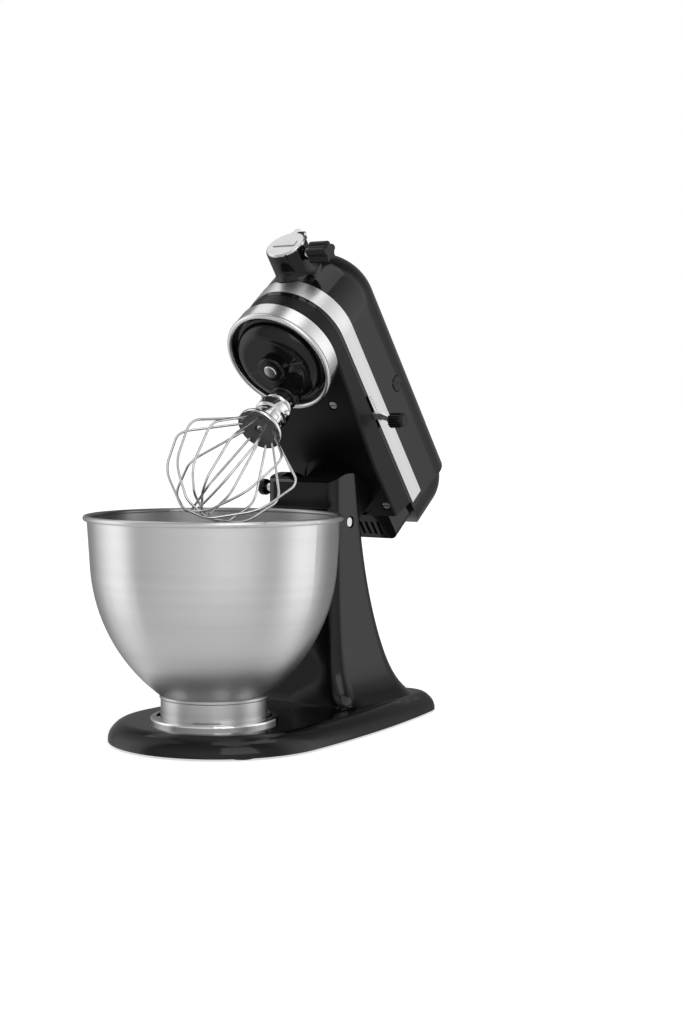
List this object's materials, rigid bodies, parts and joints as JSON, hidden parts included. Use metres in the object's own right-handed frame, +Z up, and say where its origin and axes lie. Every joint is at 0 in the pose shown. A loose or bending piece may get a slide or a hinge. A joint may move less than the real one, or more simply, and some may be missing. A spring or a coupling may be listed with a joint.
{
  "type": "stand mixer",
  "caption": "Tilt-head kitchen stand mixer with a twist-lock steel bowl, a planetary wire whisk, a geared motor head that tilts up and a capped attachment hub.",
  "frame": {"origin": "on the table, under the bowl's axis, at the middle foot's underside", "axes": "+Z up from the table, -Y towards the front of the bowl end, +X towards the side that carries the speed lever"},
  "size_m": [0.221, 0.4306, 0.4448],
  "materials": {
    "black_enamel": "gloss black enamel baked on die-cast aluminium",
    "bowl_steel": "circumferentially brushed stainless steel",
    "bright_chrome": "bright chrome plate",
    "trim_aluminium": "brushed bright aluminium",
    "black_plastic": "moulded black plastic",
    "foot_rubber": "matt rubber",
    "fastener_steel": "zinc-plated steel",
    "whisk_steel": "drawn stainless wire",
    "whisk_grey": "dull cast aluminium",
    "gear_steel": "machined steel with a film of grease",
    "bushing_bronze": "oil-soaked bronze",
    "motor_iron": "stacked iron sheets",
    "winding_copper": "varnished copper wire, made as plain blocks",
    "brush_carbon": "pressed carbon",
    "fan_plastic": "moulded plastic"
  },
  "bodies": {
    "stand": {"base_plate": "black_enamel", "rubber_feet": "foot_rubber", "column_bolts": "fastener_steel", "column": "black_enamel", "hinge_pin": "bright_chrome", "hinge_set_screw": "fastener_steel", "head_height_screw": "fastener_steel", "bowl_clamp_plate": "bright_chrome", "clamp_screws": "fastener_steel"},
    "lock": {"head_lock_pin": "bright_chrome", "head_lock_knob": "black_plastic"},
    "bowl": {"bowl": "bowl_steel", "bowl_foot_band": "bowl_steel"},
    "head": {"gear_case": "black_enamel", "case_gasket": "foot_rubber", "case_screws": "fastener_steel", "gear_bushings": "bushing_bronze", "upper_housing": "black_enamel", "trim_band": "trim_aluminium", "rear_cover": "black_enamel", "rear_cover_screw": "fastener_steel", "cord_bushing": "black_plastic", "drip_ring": "bright_chrome", "ring_gear": "gear_steel", "hub_bushing": "bushing_bronze", "motor_field": "motor_iron", "field_coils": "winding_copper", "rear_bearing_bracket": "fastener_steel", "motor_bearings": "fastener_steel", "brush_holders": "black_plastic", "carbon_brushes": "brush_carbon", "brush_caps": "black_plastic", "hub_cover_pin": "bright_chrome", "speed_control_plate": "black_plastic"},
    "planetary": {"planetary": "black_enamel", "center_shaft": "bright_chrome", "planetary_pin": "bright_chrome", "center_gear": "gear_steel", "beater_bushing": "bushing_bronze"},
    "whisk": {"beater_shaft": "bright_chrome", "beater_pinion": "gear_steel", "bayonet_pin": "bright_chrome", "beater_spring": "whisk_steel", "whisk_collar": "bright_chrome", "whisk_plate": "whisk_grey", "whisk_wires": "whisk_steel"},
    "drive_shaft": {"worm_wheel": "gear_steel", "drive_pinion": "gear_steel", "drive_shaft": "gear_steel"},
    "armature": {"armature_shaft": "gear_steel", "armature_core": "motor_iron", "armature_windings": "winding_copper", "commutator": "bushing_bronze", "cooling_fan": "fan_plastic"},
    "hub_gear": {"hub_gear": "gear_steel"},
    "hub_cover": {"hub_cover": "bright_chrome"},
    "hub_knob": {"hub_knob": "black_plastic", "hub_knob_screw": "bright_chrome"},
    "speed_lever": {"speed_lever": "bright_chrome", "speed_knob": "black_plastic"}
  },
  "joints": [
    {"name": "head_tilt", "type": "hinge", "parent": "stand", "child": "head", "pos_m": [0, 0.149, 0.182], "axis": [1, 0, 0], "range_deg": [0, 52.4]},
    {"name": "head_lock_slide", "type": "slide", "parent": "stand", "child": "lock", "axis": [1, 0, 0], "range_m": [0, 0.008]},
    {"name": "bowl_twist", "type": "hinge", "parent": "stand", "child": "bowl", "pos_m": [0, 0, 0.0165], "axis": [0, 0, 1], "range_deg": [0, 30]},
    {"name": "planetary_spin", "type": "hinge", "parent": "head", "child": "planetary", "pos_m": [0, 0.09612, 0.32934], "axis": [0, 0.7923, 0.6101], "continuous": true},
    {"name": "beater_spin", "type": "hinge", "parent": "planetary", "child": "whisk", "pos_m": [0.00467, 0.09642, 0.29617], "axis": [0, 0.7923, 0.6101], "continuous": true},
    {"name": "drive_shaft_spin", "type": "hinge", "parent": "head", "child": "drive_shaft", "pos_m": [-0.0245, 0.15655, 0.33282], "axis": [0, 0.7923, 0.6101], "continuous": true},
    {"name": "motor_spin", "type": "hinge", "parent": "head", "child": "armature", "pos_m": [0, 0.21655, 0.29587], "axis": [0, 0.6101, -0.7923], "continuous": true},
    {"name": "hub_spin", "type": "hinge", "parent": "head", "child": "hub_gear", "pos_m": [0, 0.12971, 0.39307], "axis": [0, -0.6101, 0.7923], "continuous": true},
    {"name": "hub_cover_flip", "type": "hinge", "parent": "head", "child": "hub_cover", "pos_m": [0, 0.12183, 0.44001], "axis": [-1, 0, 0], "range_deg": [0, 105]},
    {"name": "hub_knob_turn", "type": "hinge", "parent": "head", "child": "hub_knob", "pos_m": [0.025, 0.10774, 0.42159], "axis": [1, 0, 0], "continuous": true},
    {"name": "speed_slide", "type": "slide", "parent": "head", "child": "speed_lever", "axis": [0, 0.6101, -0.7923], "range_m": [-0.018, 0.009]}
  ],
  "couplings": [
    {"joint": "beater_spin", "follows": "planetary_spin", "ratio": -3.5294},
    {"joint": "drive_shaft_spin", "follows": "planetary_spin", "ratio": -2.5},
    {"joint": "motor_spin", "follows": "planetary_spin", "ratio": 30},
    {"joint": "hub_spin", "follows": "planetary_spin", "ratio": 1}
  ]
}
